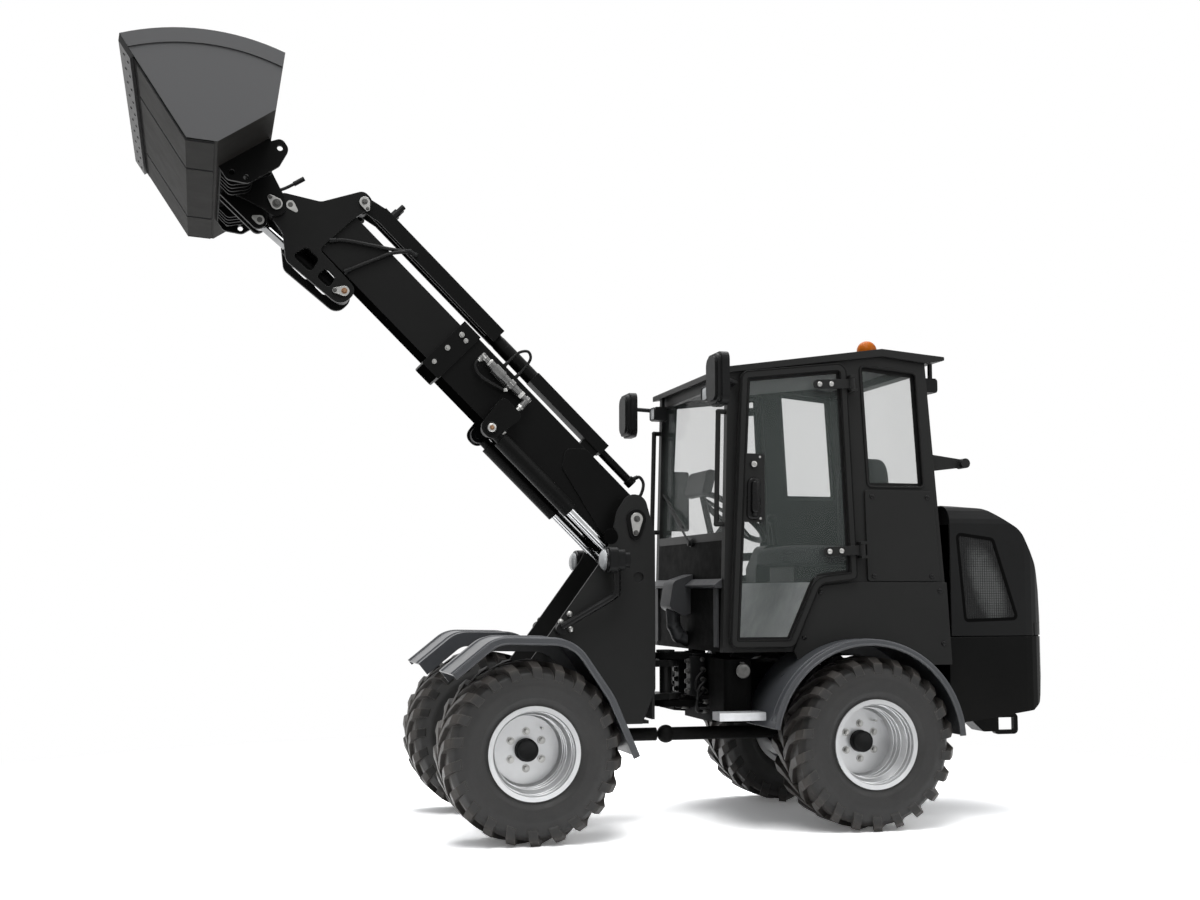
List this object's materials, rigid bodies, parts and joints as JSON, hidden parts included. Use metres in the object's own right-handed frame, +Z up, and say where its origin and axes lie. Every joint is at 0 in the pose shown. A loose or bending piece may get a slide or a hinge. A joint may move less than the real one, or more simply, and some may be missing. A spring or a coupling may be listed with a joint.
{
  "type": "telescopic wheel loader",
  "caption": "Compact articulated wheel loader with a closed cab, a telescopic boom raised with the earth bucket rolled back, lift and tilt cylinders, doors, rear hood and tow ring.",
  "frame": {"origin": "on the ground under the middle of the overall length, on the middle plane", "axes": "+X forward along the machine, +Y to the driver's left, +Z up"},
  "size_m": [4.5456, 1.8, 3.4366],
  "materials": {
    "black_paint": "satin black paint",
    "axle_paint": "matt dark grey paint",
    "black_plastic": "grained black plastic",
    "step_metal": "ribbed aluminium",
    "clear_glass": "clear, slightly green",
    "seat_cover": "black cloth",
    "amber_lens": "clear amber plastic",
    "tyre_rubber": "matt rubber",
    "rim_paint": "silver grey paint",
    "chrome_rod": "polished",
    "zinc_steel": "zinc plated",
    "edge_steel": "dark worn paint"
  },
  "bodies": {
    "rear_frame": {"rear_chassis": "black_paint", "rear_axle": "axle_paint", "engine_block": "axle_paint", "counterweight": "black_paint", "tow_ring": "black_paint", "side_tanks": "black_plastic", "steps": "step_metal", "cab_frame": "black_paint", "cab_tub": "black_plastic", "cab_roof": "black_paint", "cab_end_panels": "black_paint", "quarter_panels": "black_paint", "side_skirts": "black_paint", "cab_glass": "clear_glass", "seat_base": "black_plastic", "seat": "seat_cover", "steering": "black_plastic", "console": "black_plastic", "rear_fenders": "black_plastic", "mirrors": "black_plastic", "beacon": "amber_lens", "work_lamps": "black_plastic", "duct_cover": "black_plastic"},
    "front_frame": {"tower": "black_paint", "front_axle": "axle_paint", "front_fenders": "black_plastic", "headlamps": "black_plastic"},
    "boom_outer": {"boom_outer": "black_paint", "boom_valve": "zinc_steel", "telescope_barrel": "black_paint"},
    "boom_inner": {"boom_inner": "black_paint", "boom_head": "black_paint", "telescope_guard": "black_paint", "telescope_rod": "chrome_rod", "hydraulic_couplers": "zinc_steel"},
    "bucket": {"hitch": "black_paint", "bucket": "black_paint", "cutting_edge": "edge_steel"},
    "lift_barrels": {"lift_barrels": "black_paint"},
    "lift_rods": {"lift_rods": "chrome_rod"},
    "tilt_barrel": {"tilt_barrel": "black_paint"},
    "tilt_rod": {"tilt_rod": "chrome_rod"},
    "door_left": {"door_left": "black_paint", "door_left_glass": "clear_glass"},
    "door_right": {"door_right": "black_paint", "door_right_glass": "clear_glass"},
    "hood": {"hood": "black_plastic", "hood_grilles": "black_plastic"},
    "wheel_front_left": {"tyre_front_left": "tyre_rubber", "rim_front_left": "rim_paint"},
    "wheel_front_right": {"tyre_front_right": "tyre_rubber", "rim_front_right": "rim_paint"},
    "wheel_rear_left": {"tyre_rear_left": "tyre_rubber", "rim_rear_left": "rim_paint"},
    "wheel_rear_right": {"tyre_rear_right": "tyre_rubber", "rim_rear_right": "rim_paint"}
  },
  "joints": [
    {"name": "articulation", "type": "hinge", "parent": "rear_frame", "child": "front_frame", "pos_m": [-0.34237, 0, 0.68], "axis": [0, 0, 1], "range_deg": [-40, 40]},
    {"name": "wheel_front_left_spin", "type": "hinge", "parent": "front_frame", "child": "wheel_front_left", "pos_m": [0.46763, 0.5225, 0.4], "axis": [0, 1, 0], "continuous": true},
    {"name": "wheel_front_right_spin", "type": "hinge", "parent": "front_frame", "child": "wheel_front_right", "pos_m": [0.46763, -0.5225, 0.4], "axis": [0, 1, 0], "continuous": true},
    {"name": "wheel_rear_left_spin", "type": "hinge", "parent": "rear_frame", "child": "wheel_rear_left", "pos_m": [-1.15237, 0.5225, 0.4], "axis": [0, 1, 0], "continuous": true},
    {"name": "wheel_rear_right_spin", "type": "hinge", "parent": "rear_frame", "child": "wheel_rear_right", "pos_m": [-1.15237, -0.5225, 0.4], "axis": [0, 1, 0], "continuous": true},
    {"name": "boom_lift", "type": "hinge", "parent": "front_frame", "child": "boom_outer", "pos_m": [-0.12637, 0, 1.453], "axis": [0, -1, 0], "range_deg": [-79.5, 6]},
    {"name": "telescope", "type": "slide", "parent": "boom_outer", "child": "boom_inner", "axis": [0.7133, 0, 0.7009], "range_m": [-0.44, 0.05]},
    {"name": "bucket_tilt", "type": "hinge", "parent": "boom_inner", "child": "bucket", "pos_m": [1.59262, 0, 2.90672], "axis": [0, 1, 0], "range_deg": [-75, 92]},
    {"name": "lift_barrel_swing", "type": "hinge", "parent": "boom_outer", "child": "lift_barrels", "pos_m": [0.5774, 0, 1.87821], "axis": [0, -1, 0], "range_deg": [-1.12, 8.68]},
    {"name": "lift_rod_slide", "type": "slide", "parent": "lift_barrels", "child": "lift_rods", "axis": [-0.7133, 0, -0.7009], "range_m": [-0.34773, 0.02994]},
    {"name": "tilt_barrel_swing", "type": "hinge", "parent": "boom_inner", "child": "tilt_barrel", "pos_m": [1.27171, 0, 2.51564], "axis": [0, -1, 0], "range_deg": [-2.13, 2.5]},
    {"name": "tilt_rod_slide", "type": "slide", "parent": "tilt_barrel", "child": "tilt_rod", "axis": [0.7656, 0, 0.6433], "range_m": [-0.12494, 0.10241]},
    {"name": "door_left_swing", "type": "hinge", "parent": "rear_frame", "child": "door_left", "pos_m": [-1.13837, 0.592, 1.302], "axis": [0.0503, 0, 0.9987], "range_deg": [0, 100]},
    {"name": "door_right_swing", "type": "hinge", "parent": "rear_frame", "child": "door_right", "pos_m": [-1.13837, -0.592, 1.302], "axis": [-0.0503, 0, -0.9987], "range_deg": [0, 100]},
    {"name": "hood_lift", "type": "hinge", "parent": "rear_frame", "child": "hood", "pos_m": [-1.62237, 0, 1.512], "axis": [0, 1, 0], "range_deg": [0, 55]}
  ],
  "couplings": [
    {"joint": "lift_barrel_swing", "follows": "boom_lift", "ratio": -0.10294},
    {"joint": "lift_rod_slide", "follows": "boom_lift", "m_per_rad": 0.24773},
    {"joint": "tilt_barrel_swing", "follows": "bucket_tilt", "ratio": 0.02178},
    {"joint": "tilt_rod_slide", "follows": "bucket_tilt", "m_per_rad": -0.07594}
  ]
}
